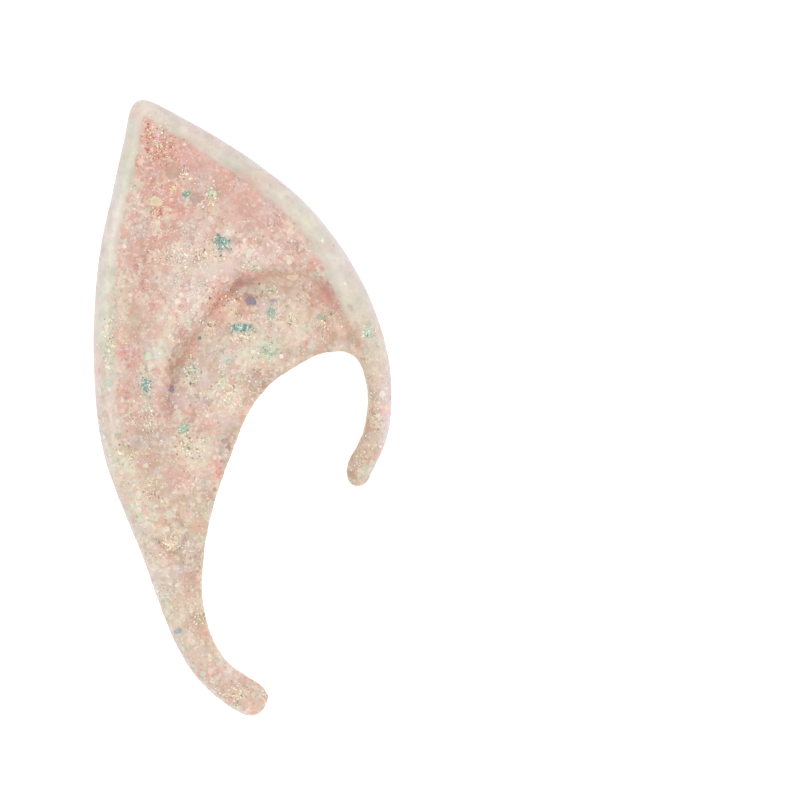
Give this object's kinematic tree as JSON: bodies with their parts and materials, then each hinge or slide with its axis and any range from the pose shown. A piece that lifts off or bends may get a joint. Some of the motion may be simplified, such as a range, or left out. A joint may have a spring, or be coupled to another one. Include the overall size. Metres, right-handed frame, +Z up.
{
  "type": "elf ear tip",
  "caption": "Slip-on pointed elf ear tip in glittery milky latex, with a rolled rim, a pocket for the wearer's ear and two hooks that curl round it.",
  "frame": {"origin": "centre of the bounding box, on the surface that the ear tip lies on", "axes": "+X across the ear towards the front hook, +Y from the lower hook to the point, +Z up, out of the front face"},
  "size_m": [0.058, 0.12, 0.0116],
  "materials": {
    "latex": "satin, milky and slightly see-through, full of fine glitter",
    "glitter": "pearly flakes of thin plastic film under the surface"
  },
  "bodies": {
    "root": {"ear_shell": "latex"}
  },
  "joints": []
}
